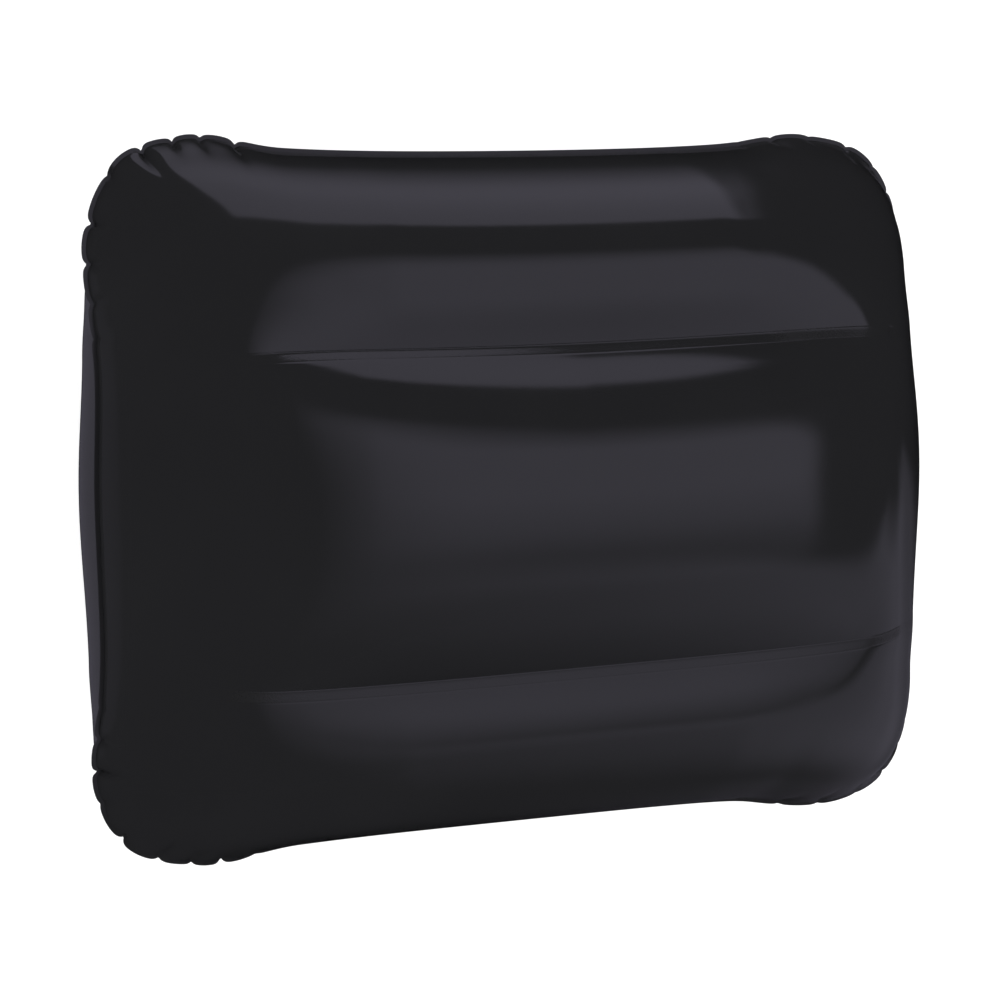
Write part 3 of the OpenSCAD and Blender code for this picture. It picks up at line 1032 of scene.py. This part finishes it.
def panel_mesh(name, far, corners):
    """The curved sheet of a light panel, with u and v from 0 to 1 across it."""
    low_left, low_right, high_right, high_left = np.radians(np.array(corners, float))
    steps = np.linspace(0, 1, LIGHT_CELLS + 1)
    u, v = (side[..., None] for side in np.meshgrid(steps, steps))
    low = low_left * (1 - u) + low_right * u
    high = high_left * (1 - u) + high_right * u
    places = low * (1 - v) + high * v
    rise, aside = places[..., 0], places[..., 1]
    aim = np.stack([np.sin(aside), np.cos(aside) * np.sin(rise), np.cos(aside) * np.cos(rise)], -1)
    points = aim * far + np.array([0, 0, LIGHT_MIDDLE])
    grid = np.arange((LIGHT_CELLS + 1) ** 2).reshape(LIGHT_CELLS + 1, LIGHT_CELLS + 1)
    faces = np.stack([grid[:-1, :-1], grid[:-1, 1:], grid[1:, 1:], grid[1:, :-1]], -1).reshape(-1, 4)
    mesh = bpy.data.meshes.new(name)
    mesh.from_pydata(points.reshape(-1, 3).tolist(), [], faces.tolist())
    uv = mesh.uv_layers.new(name="UVMap")
    uv_places = np.concatenate([u, v], -1).reshape(-1, 2)
    uv.data.foreach_set("uv", uv_places[faces.reshape(-1)].reshape(-1))
    return mesh


def panel_material(name, strength, shape):
    """Light of the given strength and shape, added to what comes through the panel from behind."""
    material = bpy.data.materials.new(name)
    material.use_nodes = True
    tree = material.node_tree
    tree.nodes.clear()
    place = add(tree, "ShaderNodeUVMap")
    split = add(tree, "ShaderNodeSeparateXYZ")
    tree.links.new(place.outputs["UV"], split.inputs["Vector"])
    glow = add(tree, "ShaderNodeEmission")
    glow.inputs["Color"].default_value = LIGHT_TINT
    level = maths(tree, "MULTIPLY", shape(tree, split.outputs["X"], split.outputs["Y"]), strength)
    tree.links.new(level, glow.inputs["Strength"])
    both = add(tree, "ShaderNodeAddShader")
    tree.links.new(glow.outputs[0], both.inputs[0])
    tree.links.new(add(tree, "ShaderNodeBsdfTransparent").outputs[0], both.inputs[1])
    out = add(tree, "ShaderNodeOutputMaterial")
    tree.links.new(both.outputs[0], out.inputs["Surface"])
    return material


def light_panel(name, far, corners, strength, shape):
    """A curved light panel round the pillow, seen only in reflections. Its corners are pairs of angles in
    degrees, as seen from the pillow: how far from straight above towards +Y, and how far aside towards
    +X. They go low left, low right, high right, high left. shape makes its brightness, 0 to 1, from its u
    and v."""
    mesh = panel_mesh(name, far, corners)
    piece = bpy.data.objects.new(name, mesh)
    bpy.context.scene.collection.objects.link(piece)
    mesh.materials.append(panel_material(name, strength, shape))
    piece.visible_camera = False
    piece.visible_diffuse = False
    piece.visible_shadow = False
    return piece


def off_middle(tree, place):
    """How far a u or v is from the panel's middle, to the power that the round shape needs."""
    return maths(tree, "POWER", maths(tree, "ABSOLUTE", maths(tree, "SUBTRACT", place, 0.5), 0), ROUNDNESS)


def box_shape(left, right, low, high, edge=0.0):
    """A panel whose sides fade over these shares of its width or height. With an edge it is round, and
    fades over that share of its radius as well."""
    def shape(tree, u, v):
        from_left, from_right = ramp(tree, u, 0, left, False), ramp(tree, u, 1 - right, right, True)
        sides = maths(tree, "MULTIPLY", from_left, from_right)
        ends = maths(tree, "MULTIPLY", ramp(tree, v, 0, low, False), ramp(tree, v, 1 - high, high, True))
        level = maths(tree, "MULTIPLY", sides, ends)
        if edge == 0:
            return level
        total = maths(tree, "ADD", off_middle(tree, u), off_middle(tree, v))
        radius = maths(tree, "MULTIPLY", maths(tree, "POWER", total, 1 / ROUNDNESS), 2)
        return maths(tree, "MULTIPLY", level, ramp(tree, radius, 1 - edge, edge, True))
    return shape


def box_corners(low, high, left, right):
    return ((low, left), (low, right), (high, right), (high, left))


def studio():
    overhead_corners = ((63, -6), (63, 37.5), (138, 30), (138, -6))
    light_panel("overhead_light", 2.5, overhead_corners, 0.63, box_shape(0.05, 0.09, 0.05, 0.6))
    front_corners = ((-54, -12), (-54, 52), (43, 52), (44, -12))
    light_panel("front_light", 2.6, front_corners, 0.565, box_shape(0.5, 0.12, 0.6, 0.2, 0.16))
    low_corners = ((-165, 52), (-172, 86), (-43, 82), (-24, -6))
    light_panel("low_light", 2.7, low_corners, 0.31, box_shape(0.5, 0.14, 0.66, 0.1))
    side_corners = ((-176, 22), (-166, 84), (-100, 89), (-100, 22))
    light_panel("side_glow", 2.75, side_corners, 0.085, box_shape(0.3, 0.06, 0.15, 0.4))
    glow_corners = box_corners(145, 215, -78, 18)
    light_panel("backdrop_glow", 2.8, glow_corners, 0.045, box_shape(0.15, 0.25, 0.25, 0.25))
    core_corners = box_corners(150, 210, -35, 18)
    light_panel("backdrop_core", 2.9, core_corners, 0.06, box_shape(0.4, 0.3, 0.25, 0.25))
    world = bpy.data.worlds.new("studio")
    bpy.context.scene.world = world
    world.use_nodes = True
    world.node_tree.nodes["Background"].inputs["Color"].default_value = (1, 1, 1, 1)
    world.node_tree.nodes["Background"].inputs["Strength"].default_value = 1.0
    world.cycles_visibility.glossy = False
    bpy.context.scene.view_settings.view_transform = "Standard"


# The camera: degrees to the side, above and of roll, its distance and the point it aims at in
# millimetres, and its focal length in sensor widths
CAMERA_SIDE = -25.48
CAMERA_RISE = 5.85
CAMERA_ROLL = -1.29
CAMERA_FAR = 1379.0
CAMERA_AIM_X = -4.16
CAMERA_AIM_Y = -5.36
FRAME_WIDTHS = 3.81


def camera():
    side, rise, roll = math.radians(CAMERA_SIDE), math.radians(CAMERA_RISE), math.radians(CAMERA_ROLL)
    back = Vector((math.sin(side) * math.cos(rise), math.sin(rise), math.cos(side) * math.cos(rise)))
    aim = Vector((CAMERA_AIM_X, CAMERA_AIM_Y, SEAM_Z)) * MM
    right = (-back).cross(Vector((0, 1, 0))).normalized()
    up = right.cross(-back)
    turned_right = right * math.cos(roll) + up * math.sin(roll)
    turned_up = up * math.cos(roll) - right * math.sin(roll)
    data = bpy.data.cameras.new("camera")
    data.lens = FRAME_WIDTHS * data.sensor_width
    piece = bpy.data.objects.new("camera", data)
    bpy.context.scene.collection.objects.link(piece)
    turn = Matrix((turned_right, turned_up, back)).transposed()
    piece.matrix_world = Matrix.Translation(aim + back * CAMERA_FAR * MM) @ turn.to_4x4()
    bpy.context.scene.camera = piece


# ---------------------------------------------------------------- put together

sheets = settle(blow_up())
vinyl = vinyl_material()
for name, index, node in (("front_sheet", 0, "front_panel"), ("back_sheet", 1, "back_panel")):
    sheet = build_sheet(name, sheets, index, index == 1)
    sheet.data.materials.append(vinyl)
    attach(sheet, "pillow")
    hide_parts(node)

finishes = {"upper_baffle": inner_material(), "valve_flange": valve_material()}
finishes["lower_baffle"] = finishes["upper_baffle"]
for node in ("valve_stem", "check_flap", "valve_plug", "plug_strap"):
    finishes[node] = finishes["valve_flange"]
for node, material in finishes.items():
    mesh = frame["nodes"][node].data
    mesh.materials.clear()
    mesh.materials.append(material)

floor()
studio()
camera()
